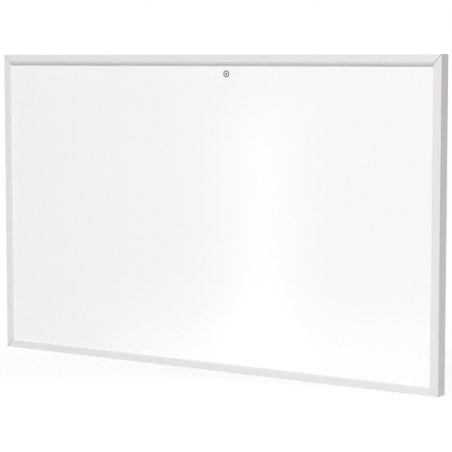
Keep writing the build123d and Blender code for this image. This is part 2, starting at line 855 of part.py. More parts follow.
with BuildPart() as clamps:
    with Locations(*[Plane((x, y_clamp, z_block)) for x in pole_places]):
        Cylinder(clamp_radius, block_height - 2 * clamp_setback)
    with Locations(*[Plane((x, y_clamp, z_block)) for x in pole_places]):
        Cylinder(clamp_bore, block_height, mode=Mode.SUBTRACT)
    with Locations(*[place.offset(clamp_radius + drill_over) for place in clamp_screw_places]):
        Hole(clamp_screw_radius + thread_clearance, clamp_radius + drill_over)
save(clamps, "terminal_block_clamps")

clamp_screw_reach = lead_radius + thread_clearance  # the tip just touches the lead
clamp_screw_length = clamp_radius + loose_fit - clamp_screw_reach
headed_screws(
    "terminal_block_clamp_screws",
    [place.offset(clamp_radius + loose_fit) for place in clamp_screw_places],
    clamp_screw_radius,
    clamp_screw_length,
    clamp_screw_head_radius,
    clamp_screw_head_height,
)
headed_screws(
    "terminal_block_fixing_screws",
    block_screw_places,
    block_screw_radius,
    block_depth + block_screw_hold,
    block_screw_head_radius,
    block_screw_head_height,
)

# ---- Cable gland, pointing down from the box ----
z_flange = z_box_bottom - gland_flange
z_spigot = z_flange - gland_spigot
hex_radius = gland_across_flats / 2
with BuildPart() as gland_body:
    with BuildSketch(Plane((0, y_gland, z_flange))):
        RegularPolygon(hex_radius, 6, major_radius=False)
    extrude(amount=gland_flange)
    with BuildSketch(Plane((0, y_gland, z_box_bottom))):
        Circle(gland_thread_radius)
    extrude(amount=z_thread - z_box_bottom)
    with BuildSketch(Plane((0, y_gland, z_spigot))):
        Circle(gland_spigot_radius)
    extrude(amount=gland_spigot)
    with Locations(Plane((0, y_gland, z_thread))):
        Hole(gland_passage_radius, z_thread - z_spigot)
    with BuildSketch(Plane((0, y_gland, z_spigot))):
        Circle(gland_seal_radius + loose_fit)
    extrude(amount=gland_seal_length, mode=Mode.SUBTRACT)
save(gland_body, "gland_body")

with BuildPart() as gland_lock_nut:
    with BuildSketch(Plane((0, y_gland, z_inner_nut))):
        RegularPolygon(hex_radius, 6, major_radius=False)
        Circle(gland_thread_radius + loose_fit, mode=Mode.SUBTRACT)
    extrude(amount=gland_nut)
save(gland_lock_nut, "gland_lock_nut")

with BuildPart() as gland_seal:
    with BuildSketch(Plane((0, y_gland, z_spigot))):
        Circle(gland_seal_radius)
        Circle(gland_seal_bore, mode=Mode.SUBTRACT)
    extrude(amount=gland_seal_length)
save(gland_seal, "gland_seal")

z_dome_top = z_flange - gland_dome_gap
z_dome_end = z_spigot - gland_dome_end
with BuildPart() as gland_dome:
    with BuildSketch(Plane((0, y_gland, z_dome_end))):
        RegularPolygon(hex_radius, 6, major_radius=False)
    extrude(amount=z_dome_top - z_dome_end)
    chamfer(gland_dome.faces().sort_by(Axis.Z)[0].edges(), gland_dome_chamfer)
    with BuildSketch(Plane((0, y_gland, z_spigot))):
        Circle(gland_spigot_radius + loose_fit)
    extrude(amount=z_dome_top - z_spigot, mode=Mode.SUBTRACT)
    with Locations(Plane((0, y_gland, z_spigot))):
        Hole(gland_passage_radius, gland_dome_end + drill_over)
save(gland_dome, "gland_dome_nut")

# ---- Thermal cut-outs: one in each pole, seated on the rear film ----
for name, way in poles.items():
    seat = facing_wall(way * cutout_place_x, y_film_back, z_cutout)
    with BuildPart() as cutout:
        with BuildSketch(seat):
            Circle(cutout_cap_radius)
        extrude(amount=cutout_cap)
        chamfer(cutout.edges().group_by(Axis.Y)[-1], cutout_cap / 4)
        with BuildSketch(seat.offset(cutout_cap)):
            Circle(cutout_body_radius)
        extrude(amount=cutout_body)
        with BuildSketch(seat.offset(cutout_cap + cutout_body)):
            Rectangle(spade_width, 2 * cutout_spade)
        extrude(amount=spade_thickness)
        spade_tips = cutout.edges().filter_by(Axis.Y).group_by(Axis.Z)
        chamfer(spade_tips[0] + spade_tips[-1], spade_width / 6)
    save(cutout, f"thermal_cutout_{name}")

# ---- Track terminals: brass tabs on the ends of the heating track ----
for name, way in poles.items():
    with BuildPart() as terminal:
        with BuildSketch(Plane((0, 0, z_feeder - spade_width / 2))):
            with BuildLine():
                FilletPolyline(
                    (way * (x_riser - terminal_foot), y_track_back),
                    (way * x_riser, y_track_back),
                    (way * x_riser, y_spade),
                    (way * (x_riser + terminal_spade), y_spade),
                    radius=terminal_bend,
                )
                offset(amount=spade_thickness, side=Side.LEFT if way > 0 else Side.RIGHT)
            make_face()
        extrude(amount=spade_width)
    save(terminal, f"track_terminal_{name}")

# ---- Spade sleeves: insulated sockets pushed on the cut-outs' and terminals' tabs ----
# Each place is the open end of a socket, with z along the sleeve and x across the tab.
sleeve_places = [
    Plane((way * cutout_place_x, y_lead, z), x_dir=(1, 0, 0), z_dir=(0, 0, z_way))
    for way in poles.values()
    for z, z_way in ((z_upper_sleeve, 1), (z_lower_sleeve, -1))
] + [
    Plane((way * x_terminal_sleeve, y_lead, z_feeder), x_dir=(0, 0, 1), z_dir=(way, 0, 0))
    for way in poles.values()
]
with BuildPart() as sleeves:
    for place in sleeve_places:
        with BuildSketch(place):
            RectangleRounded(sleeve_width, sleeve_thickness, sleeve_corner)
        extrude(amount=sleeve_length)
        with BuildSketch(place):
            Rectangle(spade_width + 2 * sleeve_fit, spade_thickness + 2 * sleeve_fit)
        extrude(amount=sleeve_grip, mode=Mode.SUBTRACT)
save(sleeves, "spade_sleeves")

# ---- Leads: straight runs joined by tangent arcs ----
z_clamp_lead = z_block + block_height / 2 - clamp_setback - lead_in_clamp
z_block_top = z_block + block_height / 2 + lead_bend
z_earth_end = z_stud - tag_reach
y_tag = y_plate_back + earth_nut_height
y_tag_lead = y_tag + tag_barrel_radius


def pole_lead(way):
    """The route from a pole of the terminal block, through the grommet, to its cut-out."""
    return [
        (way * pole_pitch, y_clamp, z_clamp_lead),
        (way * pole_pitch, y_clamp, z_block_top),
        (way * grommet_lead_pitch, y_clamp, z_grommet),
        (way * grommet_lead_pitch, y_lead, z_grommet),
        (way * cutout_place_x, y_lead, z_grommet),
        (way * cutout_place_x, y_lead, z_upper_sleeve + sleeve_length),
    ]


def link_lead(way):
    """The route from a cut-out to the terminal of the heating track."""
    return [
        (way * cutout_place_x, y_lead, z_lower_sleeve - sleeve_length),
        (way * cutout_place_x, y_lead, z_feeder),
        (way * (x_terminal_sleeve + sleeve_length), y_lead, z_feeder),
    ]


routes = {
    "live_lead": pole_lead(-1),
    "neutral_lead": pole_lead(1),
    "live_link_lead": link_lead(-1),
    "neutral_link_lead": link_lead(1),
    "earth_lead": [
        (0, y_clamp, z_clamp_lead),
        (0, y_clamp, z_grommet),
        (0, y_tag_lead, z_grommet),
        (0, y_tag_lead, z_earth_end),
    ],
}
for name, points in routes.items():
    with BuildPart() as lead:
        with BuildLine() as route:
            FilletPolyline(*points, radius=lead_bend)
        with BuildSketch(Plane(route.line @ 0, z_dir=route.line % 0)):
            Circle(lead_radius)
        sweep()
    save(lead, name)

# ---- Earth connection: stud, spacer nut, ring tag, toothed washer, nut ----
with BuildPart() as earth_stud:
    with BuildSketch(facing_wall(0, y_plate_back, z_stud)):
        Circle(stud_radius)
    extrude(amount=stud_length)
    chamfer(earth_stud.edges().group_by(Axis.Y)[-1], stud_radius / 4)
save(earth_stud, "earth_stud")

y_washer = y_tag + tag_thickness
y_nut = y_washer + toothed_washer_thickness
for name, y in (("earth_spacer_nut", y_plate_back), ("earth_nut", y_nut)):
    with BuildPart() as nut:
        with BuildSketch(facing_wall(0, y, z_stud)):
            RegularPolygon(earth_nut_flats / 2, 6, major_radius=False)
            Circle(stud_radius + loose_fit, mode=Mode.SUBTRACT)
        extrude(amount=earth_nut_height)
    save(nut, name)

with BuildPart() as ring_tag:
    with BuildSketch(facing_wall(0, y_tag, z_stud)):
        Circle(tag_radius)
        with Locations((0, -tag_reach / 2)):
            Rectangle(2 * tag_barrel_radius, tag_reach)
        Circle(stud_radius + loose_fit, mode=Mode.SUBTRACT)
    extrude(amount=tag_thickness)
    # the crimped barrel, short of the ring
    with BuildSketch(Plane((0, y_tag_lead, z_earth_end))):
        Circle(tag_barrel_radius)
    extrude(amount=tag_reach - tag_radius - tag_barrel_radius)
save(ring_tag, "earth_ring_tag")

with BuildPart() as toothed_washer:
    with BuildSketch(facing_wall(0, y_washer, z_stud)):
        Circle(toothed_washer_radius)
        Circle(stud_radius + loose_fit, mode=Mode.SUBTRACT)
        with PolarLocations(toothed_washer_radius, tooth_count):
            Rectangle(tooth_notch, tooth_notch, mode=Mode.SUBTRACT)
    extrude(amount=toothed_washer_thickness)
save(toothed_washer, "earth_toothed_washer")
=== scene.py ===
# %% [markdown]
# # Infrared panel heater
#
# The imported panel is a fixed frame: its pieces have their real size and place, in metres, with
# +X to the right, +Y into the wall and +Z up. This script gives them their finishes, adds the few
# pieces that are all finish, and sets up the camera, the floor and the light.

import json
import math

import bpy
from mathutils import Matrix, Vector


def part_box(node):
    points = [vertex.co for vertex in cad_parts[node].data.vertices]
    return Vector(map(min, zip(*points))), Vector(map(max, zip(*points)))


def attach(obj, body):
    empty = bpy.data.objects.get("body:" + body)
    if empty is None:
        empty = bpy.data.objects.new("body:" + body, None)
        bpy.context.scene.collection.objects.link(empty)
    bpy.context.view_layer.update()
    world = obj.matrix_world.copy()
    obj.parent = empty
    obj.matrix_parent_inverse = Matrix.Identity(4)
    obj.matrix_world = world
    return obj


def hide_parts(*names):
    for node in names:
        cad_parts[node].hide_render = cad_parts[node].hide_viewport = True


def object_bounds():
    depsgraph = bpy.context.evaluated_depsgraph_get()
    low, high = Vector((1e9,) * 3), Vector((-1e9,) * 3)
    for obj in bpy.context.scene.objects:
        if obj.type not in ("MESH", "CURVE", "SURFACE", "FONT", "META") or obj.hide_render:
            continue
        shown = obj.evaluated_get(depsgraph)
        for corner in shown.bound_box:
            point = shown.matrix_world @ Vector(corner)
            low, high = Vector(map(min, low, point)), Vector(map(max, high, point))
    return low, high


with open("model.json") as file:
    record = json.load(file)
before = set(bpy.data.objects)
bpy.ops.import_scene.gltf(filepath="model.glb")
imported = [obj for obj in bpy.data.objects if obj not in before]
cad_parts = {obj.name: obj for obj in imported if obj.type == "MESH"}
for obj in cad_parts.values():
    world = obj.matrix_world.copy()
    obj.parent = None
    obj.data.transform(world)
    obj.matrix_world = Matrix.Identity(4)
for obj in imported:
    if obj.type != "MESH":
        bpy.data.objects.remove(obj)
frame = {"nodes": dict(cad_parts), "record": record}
nodes = frame["nodes"]
cad_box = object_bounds()
print("panel box, metres:", [round(value, 4) for corner in cad_box for value in corner])

# %% [markdown]
# ## Camera
#
# The place and lens come from the six corners of the frame that the photograph shows, fitted to
# a panel 600 mm high. The camera stands to the right at the height of the upper edge, which is why
# the top of the frame shows as a plain line. Its lens is long, so the frame's sides stay nearly
# parallel.

# %% Camera at the photograph's angle
photo_pixels = 452
focal_pixels = 1815.8
camera_place = (1.977, -2.858, 0.2948)
camera_turn = 34.512  # degrees, to the left of straight ahead
camera_tilt = -5.311  # degrees, below the horizon

camera_data = bpy.data.cameras.new("camera")
camera_data.lens = focal_pixels / photo_pixels * camera_data.sensor_width
camera = bpy.data.objects.new("camera", camera_data)
camera.location = camera_place
camera.rotation_euler = (math.radians(90 + camera_tilt), 0, math.radians(camera_turn))
bpy.context.scene.collection.objects.link(camera)
bpy.context.scene.camera = camera
bpy.context.scene.view_settings.view_transform = "Standard"
print("lens, mm:", round(camera_data.lens, 1))

# %% [markdown]
# ## Building materials in code
#
# A material is a small network of nodes, and a few helpers keep each network short. One adds a
# node with its settings and wires whatever is given as a socket, others start a group or a
# material, use a group in a material, and turn a pattern into a bump. All patterns are laid out in
# object coordinates, which are metres here, so a size in a material is a size on the real panel.

# %% Helpers for node networks
def add_node(tree, kind, inputs=None, **settings):
    """Adds a node; a socket among its inputs is wired, and anything else is a plain value."""
    node = tree.nodes.new(kind)
    for name, value in settings.items():
        setattr(node, name, value)
    for name, value in (inputs or {}).items():
        if isinstance(value, bpy.types.NodeSocket):
            tree.links.new(value, node.inputs[name])
        else:
            node.inputs[name].default_value = value
    return node


def start_group(name, inputs, outputs):
    """A node group with named sockets; an input is (kind, name, usual value)."""
    group = bpy.data.node_groups.new(name, "ShaderNodeTree")
    for kind, label, value in inputs:
        socket = group.interface.new_socket(label, in_out="INPUT", socket_type=kind)
        if value is not None:
            socket.default_value = value
    for kind, label in outputs:
        group.interface.new_socket(label, in_out="OUTPUT", socket_type=kind)
    entry = group.nodes.new("NodeGroupInput")
    leave = group.nodes.new("NodeGroupOutput")
    return group, entry.outputs, leave.inputs


def start_material(name):
    """A new material with its shader and a socket that gives object coordinates."""
    material = bpy.data.materials.new(name)
    material.use_nodes = True
    tree = material.node_tree
    shader = tree.nodes["Principled BSDF"]
    place = tree.nodes.new("ShaderNodeTexCoord").outputs["Object"]
    return material, tree, shader, place


def use_group(tree, group, **inputs):
    """Places a node group in a material with this material's own values."""
    node = tree.nodes.new("ShaderNodeGroup")
    node.node_tree = group
    for label, value in inputs.items():
        socket = node.inputs[label.replace("_", " ").capitalize()]
        if isinstance(value, bpy.types.NodeSocket):
            tree.links.new(value, socket)
        else:
            socket.default_value = value
    return node.outputs


def bump_from(tree, shader, height, depth, strength=1.0):
    """Turns a height, as a share of a depth in metres, into the shader's normal."""
    bump = add_node(
        tree,
        "ShaderNodeBump",
        {"Height": height, "Distance": depth, "Strength": strength},
    )
    tree.links.new(bump.outputs["Normal"], shader.inputs["Normal"])


# %% [markdown]
# ## Effects that several finishes share
#
# Powder coat melts into a skin that is never quite flat: fine grain first, then a slow waviness
# that painters call orange peel. Sheet and castings have soft patches where they were handled, and
# rolled or drawn metal has fine lines one way. Each effect is a group that puts out a value from 0
# to 1, and a material decides what to do with it.

# %% Shared effects
def noise_value(tree, place, size, detail=2.0, roughness=0.5):
    """Soft noise whose features are about this size, in metres."""
    return add_node(
        tree,
        "ShaderNodeTexNoise",
        {"Vector": place, "Scale": 1 / size, "Detail": detail, "Roughness": roughness},
    ).outputs["Fac"]


coat_grain_size = 0.0009
orange_peel_size = 0.0045
drawn_line_width = 0.001
noise_low, noise_high = 0.3, 0.7  # most of a noise lies between these


def build_coat_skin():
    """Grain and orange peel; Grain says how much of the height is grain."""
    group, given, result = start_group(
        "coat skin",
        [("NodeSocketVector", "Place", None), ("NodeSocketFloat", "Grain", 0.5)],
        [("NodeSocketFloat", "Height")],
    )
    grain = noise_value(group, given["Place"], coat_grain_size)
    peel = noise_value(group, given["Place"], orange_peel_size, detail=1.0)
    mixed = add_node(
        group,
        "ShaderNodeMix",
        {"Factor": given["Grain"], "A": peel, "B": grain},
        data_type="FLOAT",
    )
    group.links.new(mixed.outputs["Result"], result["Height"])
    return group


def build_soft_patches():
    """Cloudy patches of about a size, spread between a least and a most value."""
    group, given, result = start_group(
        "soft patches",
        [
            ("NodeSocketVector", "Place", None),
            ("NodeSocketFloat", "Size", 0.1),
            ("NodeSocketFloat", "Least", 0.0),
            ("NodeSocketFloat", "Most", 1.0),
        ],
        [("NodeSocketFloat", "Value")],
    )
    scale = add_node(group, "ShaderNodeMath", {0: 1.0, 1: given["Size"]}, operation="DIVIDE")
    noise = add_node(
        group,
        "ShaderNodeTexNoise",
        {"Vector": given["Place"], "Scale": scale.outputs[0], "Detail": 3.0},
    )
    spread = add_node(
        group,
        "ShaderNodeMapRange",
        {
            "Value": noise.outputs["Fac"],
            "From Min": noise_low,
            "From Max": noise_high,
            "To Min": given["Least"],
            "To Max": given["Most"],
        },
    )
    group.links.new(spread.outputs["Result"], result["Value"])
    return group


def build_drawn_lines():
    """Fine noise pulled out into lines along the axis whose stretch is small."""
    group, given, result = start_group(
        "drawn lines",
        [
            ("NodeSocketVector", "Place", None),
            ("NodeSocketVector", "Stretch", (1.0, 1.0, 1.0)),
        ],
        [("NodeSocketFloat", "Value")],
    )
    stretched = add_node(
        group,
        "ShaderNodeVectorMath",
        {0: given["Place"], 1: given["Stretch"]},
        operation="MULTIPLY",
    )
    lines = noise_value(group, stretched.outputs[0], drawn_line_width, detail=4.0)
    group.links.new(lines, result["Value"])
    return group


coat_skin = build_coat_skin()
soft_patches = build_soft_patches()
drawn_lines = build_drawn_lines()
print("shared effects:", [group.name for group in (coat_skin, soft_patches, drawn_lines)])

# %% [markdown]
# ## Powder coats
#
# The frame and the plate are both coated, but not alike. The frame's coat is a very light grey
# with a satin surface. The plate's coat is whiter and glossier, so the studio shows in it as a soft
# glow. Colours are written as the linear values that the render should give under plain light.

# %% Powder coats of the frame and the plate
coat_patch_size = 0.18
coat_gloss_patch_size = 0.05


def tinted(tree, base, other, amount):
    """A colour that wanders from a base towards another by a value from 0 to 1."""
    mix = add_node(
        tree,
        "ShaderNodeMix",
        {"Factor": amount, "A": (*base, 1.0), "B": (*other, 1.0)},
        data_type="RGBA",
    )
    return mix.outputs["Result"]


def powder_coat(name, colour, patch_colour, roughness, grain, depth):
    """A coat with soft patches and grain; gives back the material and the socket of its colour."""
    material, tree, shader, place = start_material(name)
    patches = use_group(tree, soft_patches, place=place, size=coat_patch_size)["Value"]
    tone = tinted(tree, colour, patch_colour, patches)
    tree.links.new(tone, shader.inputs["Base Color"])
    low, high = roughness
    gloss = use_group(
        tree, soft_patches, place=place, size=coat_gloss_patch_size, least=low, most=high
    )["Value"]
    tree.links.new(gloss, shader.inputs["Roughness"])
    height = use_group(tree, coat_skin, place=place, grain=grain)["Height"]
    bump_from(tree, shader, height, depth)
    return material, tone


frame_coat, frame_tone = powder_coat(
    "frame powder coat",
    colour=(0.73, 0.728, 0.722),
    patch_colour=(0.72, 0.718, 0.713),
    roughness=(0.38, 0.46),
    grain=0.6,
    depth=0.00002,
)
plate_coat, _ = powder_coat(
    "plate powder coat",
    colour=(0.873, 0.875, 0.877),
    patch_colour=(0.868, 0.87, 0.872),
    roughness=(0.15, 0.17),
    grain=0.35,
    depth=0.00001,
)
print("powder coats:", frame_coat.name, "and", plate_coat.name)

# %% [markdown]
# Where two lengths of the frame meet, the hairline gap of the mitre lies in shade, and that shade
# is painted into the coat's colour. The joint lies where the ways to the side and to the upper or
# lower edge are equal, and a mask along that line darkens the coat. The painted shade is weakest
# at the lower right, a little stronger at the upper left, and strongest at the other two joints.

# %% Painted shade along the mitre joints
mitre_shade_core = 0.0003  # half width of the darkest part, in metres
mitre_shade_fade = 0.0009  # half width where the painted shade ends
# the dark colour painted along the mitres stands in for the shade in their hairline gaps
mitre_shade_colour = (0.24, 0.235, 0.23)
plain_corner = cad_box[1].x - cad_box[1].z  # across less upright, at the corners with the most painted shade
far_corner = cad_box[1].x + cad_box[1].z  # the same at the lower right corner
lower_right_shade_share = 0.15
upper_left_shade_share = 0.55


def mitre_shade_share(tree, axes):
    """How much painted shade a joint gets, from its corner: across less upright differs between
    them.
    """
    lean = add_node(tree, "ShaderNodeMath", {0: axes["X"], 1: axes["Z"]}, operation="SUBTRACT")
    shares = [
        add_node(
            tree,
            "ShaderNodeMapRange",
            {
                "Value": lean.outputs[0],
                "From Min": way * plain_corner,
                "From Max": way * far_corner,
                "To Min": 1.0,
                "To Max": share,
            },
        ).outputs["Result"]
        for way, share in ((1, lower_right_shade_share), (-1, upper_left_shade_share))
    ]
    return add_node(
        tree, "ShaderNodeMath", {0: shares[0], 1: shares[1]}, operation="MULTIPLY"
    ).outputs[0]


def add_painted_mitre_shade(material, tone):
    """Paints shade into the coat's tone along the four joints."""
    tree = material.node_tree
    shader = tree.nodes["Principled BSDF"]
    place = tree.nodes.new("ShaderNodeTexCoord").outputs["Object"]
    axes = add_node(tree, "ShaderNodeSeparateXYZ", {"Vector": place}).outputs
    across, upright = (
        add_node(tree, "ShaderNodeMath", {0: axes[axis]}, operation="ABSOLUTE").outputs[0]
        for axis in ("X", "Z")
    )
    excess = add_node(tree, "ShaderNodeMath", {0: across, 1: upright}, operation="SUBTRACT")
    apart = add_node(
        tree, "ShaderNodeMath", {0: excess.outputs[0], 1: plain_corner}, operation="SUBTRACT"
    )
    distance = add_node(tree, "ShaderNodeMath", {0: apart.outputs[0]}, operation="ABSOLUTE")
    mitre_shade_mask = add_node(
        tree,
        "ShaderNodeMapRange",
        {
            "Value": distance.outputs[0],
            "From Min": mitre_shade_core,
            "From Max": mitre_shade_fade,
            "To Min": mitre_shade_share(tree, axes),
            "To Max": 0.0,
        },
        interpolation_type="SMOOTHSTEP",
    )
    # the mask mixes in a dark colour: painted shade of the hairline gaps at the mitres
    mitre_shaded = add_node(
        tree,
        "ShaderNodeMix",
        {"Factor": mitre_shade_mask.outputs["Result"], "A": tone, "B": (*mitre_shade_colour, 1.0)},
        data_type="RGBA",
    )
    tree.links.new(mitre_shaded.outputs["Result"], shader.inputs["Base Color"])


add_painted_mitre_shade(frame_coat, frame_tone)
print("mitre lines, mm wide:", 2000 * mitre_shade_fade)

# %% [markdown]
# ## Metals
#
# Zinc sheet shows its crystals, called spangle: flat patches a few millimetres wide that differ a
# little in tone and gloss. A Voronoi texture makes such cells. Crystals grow into each other, so
# the coordinates are first shaken by a fine noise, which makes the borders ragged, and each cell
# turns its own fine lines to its own direction of growth.

# %% Zinc sheet
spangle_size = 0.005
spangle_ragged = 0.0025  # how far the borders wander, in metres
ragged_steps = 3  # features of the ragged border to one crystal
feather_share = 0.45  # how much of a crystal's tone is its fine lines
zinc_dark = (0.41, 0.42, 0.43)
zinc_light = (0.55, 0.56, 0.57)
zinc_roughness = (0.36, 0.50)


def zinc_sheet_finish():
    material, tree, shader, place = start_material("zinc sheet")
    shader.inputs["Metallic"].default_value = 1.0
    shake = add_node(
        tree,
        "ShaderNodeTexNoise",
        {"Vector": place, "Scale": ragged_steps / spangle_size, "Detail": 4.0},
    )
    ragged = add_node(
        tree,
        "ShaderNodeVectorMath",
        {0: shake.outputs["Color"], 1: (spangle_ragged,) * 3, 2: place},
        operation="MULTIPLY_ADD",
    )
    crystals = add_node(
        tree, "ShaderNodeTexVoronoi", {"Vector": ragged.outputs[0], "Scale": 1 / spangle_size}
    )
    crystal = add_node(
        tree, "ShaderNodeSeparateColor", {"Color": crystals.outputs["Color"]}
    ).outputs
    growth = add_node(
        tree, "ShaderNodeMath", {0: crystal["Green"], 1: math.pi}, operation="MULTIPLY"
    )
    turned = add_node(
        tree,
        "ShaderNodeVectorRotate",
        {"Vector": place, "Axis": (0.0, 1.0, 0.0), "Angle": growth.outputs[0]},
    )
    feathers = use_group(
        tree, drawn_lines, place=turned.outputs["Vector"], stretch=(0.2, 1.0, 1.0)
    )["Value"]
    tone = add_node(
        tree,
        "ShaderNodeMix",
        {"Factor": feather_share, "A": crystal["Red"], "B": feathers},
        data_type="FLOAT",
    ).outputs["Result"]
    colour = tinted(tree, zinc_dark, zinc_light, tone)
    tree.links.new(colour, shader.inputs["Base Color"])
    low, high = zinc_roughness
    gloss = add_node(
        tree, "ShaderNodeMapRange", {"Value": tone, "To Min": low, "To Max": high}
    ).outputs["Result"]
    tree.links.new(gloss, shader.inputs["Roughness"])
    bump_from(tree, shader, feathers, depth=0.000004)
    return material


zinc_sheet = zinc_sheet_finish()
print("zinc sheet, crystal size in mm:", 1000 * spangle_size)

# %% [markdown]
# The other metals share one recipe with their own colours: soft patches of tone and gloss, and
# fine lines that run the way the piece was drawn or turned. Screws are zinc plated and turned,
# brass clamps are drawn, and the corner keys are cast, so their texture runs no special way.

# %% Other metals
def metal_finish(name, colour, patch_colour, roughness, patch_size, stretch, depth):
    """A metal in two close colours; its lines run along the axis whose stretch is small."""
    material, tree, shader, place = start_material(name)
    shader.inputs["Metallic"].default_value = 1.0
    patches = use_group(tree, soft_patches, place=place, size=patch_size)["Value"]
    tree.links.new(tinted(tree, colour, patch_colour, patches), shader.inputs["Base Color"])
    low, high = roughness
    gloss = use_group(
        tree, soft_patches, place=place, size=patch_size / 2, least=low, most=high
    )["Value"]
    tree.links.new(gloss, shader.inputs["Roughness"])
    lines = use_group(tree, drawn_lines, place=place, stretch=stretch)["Value"]
    bump_from(tree, shader, lines, depth)
    return material


zinc_screw = metal_finish(
    "zinc plated screws",
    colour=(0.66, 0.68, 0.71),
    patch_colour=(0.72, 0.73, 0.75),
    roughness=(0.26, 0.36),
    patch_size=0.004,
    stretch=(1.0, 0.2, 1.0),
    depth=0.000004,
)
cast_alloy = metal_finish(
    "cast alloy",
    colour=(0.60, 0.61, 0.62),
    patch_colour=(0.67, 0.675, 0.68),
    roughness=(0.40, 0.52),
    patch_size=0.01,
    stretch=(1.0, 1.0, 1.0),
    depth=0.00002,
)
brass = metal_finish(
    "brass",
    colour=(0.70, 0.50, 0.22),
    patch_colour=(0.76, 0.56, 0.27),
    roughness=(0.24, 0.34),
    patch_size=0.003,
    stretch=(1.0, 1.0, 0.1),
    depth=0.000004,
)
tinned_strip = metal_finish(
    "tinned brass strip",
    colour=(0.68, 0.66, 0.58),
    patch_colour=(0.74, 0.72, 0.66),
    roughness=(0.28, 0.38),
    patch_size=0.006,
    stretch=(0.1, 1.0, 1.0),
    depth=0.000004,
)
track_foil = metal_finish(
    "etched track foil",
    colour=(0.66, 0.665, 0.67),
    patch_colour=(0.72, 0.725, 0.73),
    roughness=(0.30, 0.40),
    patch_size=0.02,
    stretch=(1.0, 1.0, 0.05),
    depth=0.000003,
)
mirror_foil = metal_finish(
    "bright foil",
    colour=(0.80, 0.81, 0.82),
    patch_colour=(0.86, 0.865, 0.87),
    roughness=(0.10, 0.18),
    patch_size=0.03,
    stretch=(1.0, 1.0, 1.0),
    depth=0.00004,
)
other_metals = (zinc_screw, cast_alloy, brass, tinned_strip, track_foil, mirror_foil)
print("other metals:", [metal.name for metal in other_metals])

# %% [markdown]
# ## Plastics, rubber and ceramic
#
# Moulded pieces carry the fine texture of a spark-eroded mould, which is a bump with features of
# a millimetre at most. Rubber is dark and dull, unglazed ceramic is chalky, and natural nylon is
# nearly white and the smoothest of them.

# %% Moulded pieces
moulded_patch_size = 0.03
moulded_gloss_patch_size = 0.012


def moulded_finish(name, colour, patch_colour, roughness, grain_size, depth):
    material, tree, shader, place = start_material(name)
    patches = use_group(tree, soft_patches, place=place, size=moulded_patch_size)["Value"]
    tree.links.new(tinted(tree, colour, patch_colour, patches), shader.inputs["Base Color"])
    low, high = roughness
    gloss = use_group(
        tree, soft_patches, place=place, size=moulded_gloss_patch_size, least=low, most=high
    )["Value"]
    tree.links.new(gloss, shader.inputs["Roughness"])
    bump_from(tree, shader, noise_value(tree, place, grain_size, detail=3.0), depth)
    return material


grey_moulding = moulded_finish(
    "grey moulding",
    colour=(0.62, 0.63, 0.63),
    patch_colour=(0.65, 0.655, 0.655),
    roughness=(0.42, 0.52),
    grain_size=0.0004,
    depth=0.00002,
)
black_rubber = moulded_finish(
    "black rubber",
    colour=(0.030, 0.030, 0.031),
    patch_colour=(0.042, 0.042, 0.043),
    roughness=(0.60, 0.75),
    grain_size=0.0006,
    depth=0.00002,
)
white_ceramic = moulded_finish(
    "unglazed ceramic",
    colour=(0.80, 0.78, 0.73),
    patch_colour=(0.84, 0.82, 0.78),
    roughness=(0.62, 0.74),
    grain_size=0.0005,
    depth=0.00003,
)
black_phenolic = moulded_finish(
    "black phenolic",
    colour=(0.035, 0.034, 0.033),
    patch_colour=(0.05, 0.048, 0.046),
    roughness=(0.34, 0.46),
    grain_size=0.0005,
    depth=0.00001,
)
sleeve_nylon = moulded_finish(
    "natural nylon",
    colour=(0.78, 0.79, 0.78),
    patch_colour=(0.82, 0.83, 0.82),
    roughness=(0.30, 0.40),
    grain_size=0.001,
    depth=0.00001,
)
mouldings = (grey_moulding, black_rubber, white_ceramic, black_phenolic, sleeve_nylon)
print("moulded finishes:", [moulding.name for moulding in mouldings])

# %% [markdown]
# The leads have a skin of the same kind, in the colours of the wiring: brown and blue, and green
# with a yellow stripe for the earth. The earth lead runs in the panel's middle plane, so its stripe
# needs only one comparison: it is the side where the place across is above zero.

# %% Leads
brown_lead = moulded_finish(
    "brown lead",
    colour=(0.20, 0.085, 0.035),
    patch_colour=(0.23, 0.10, 0.042),
    roughness=(0.40, 0.50),
    grain_size=0.0006,
    depth=0.00001,
)
blue_lead = moulded_finish(
    "blue lead",
    colour=(0.03, 0.12, 0.46),
    patch_colour=(0.04, 0.14, 0.52),
    roughness=(0.40, 0.50),
    grain_size=0.0006,
    depth=0.00001,
)
lead_green = (0.06, 0.30, 0.05)
lead_yellow = (0.82, 0.68, 0.05)


def striped_lead_finish():
    """Green insulation with a yellow stripe along it, as an earth lead has."""
    material, tree, shader, place = start_material("green and yellow lead")
    across = add_node(tree, "ShaderNodeSeparateXYZ", {"Vector": place}).outputs["X"]
    stripe = add_node(
        tree, "ShaderNodeMath", {0: across, 1: 0.0}, operation="GREATER_THAN"
    ).outputs[0]
    colour = tinted(tree, lead_green, lead_yellow, stripe)
    tree.links.new(colour, shader.inputs["Base Color"])
    gloss = use_group(tree, soft_patches, place=place, size=0.01, least=0.4, most=0.5)["Value"]
    tree.links.new(gloss, shader.inputs["Roughness"])
    return material


green_yellow_lead = striped_lead_finish()
print("leads:", [lead.name for lead in (brown_lead, blue_lead, green_yellow_lead)])

# %% [markdown]
# ## Sheet materials inside the panel
#
# The film is glossy amber plastic over the track. The board is pressed mineral fibre, whose fibres
# lie every way, so two noises of different stretch are enough. The tape is woven glass, and its
# weave comes from two sets of waves that cross.

# %% Film, fibre board and glass tape
film_colours = ((0.58, 0.24, 0.035), (0.66, 0.30, 0.05))
board_colours = ((0.62, 0.59, 0.50), (0.84, 0.82, 0.74))
tape_colours = ((0.70, 0.69, 0.64), (0.86, 0.85, 0.80))
weave_scale = 1 / 0.0018  # of a wave texture, for yarns a little over half a millimetre wide


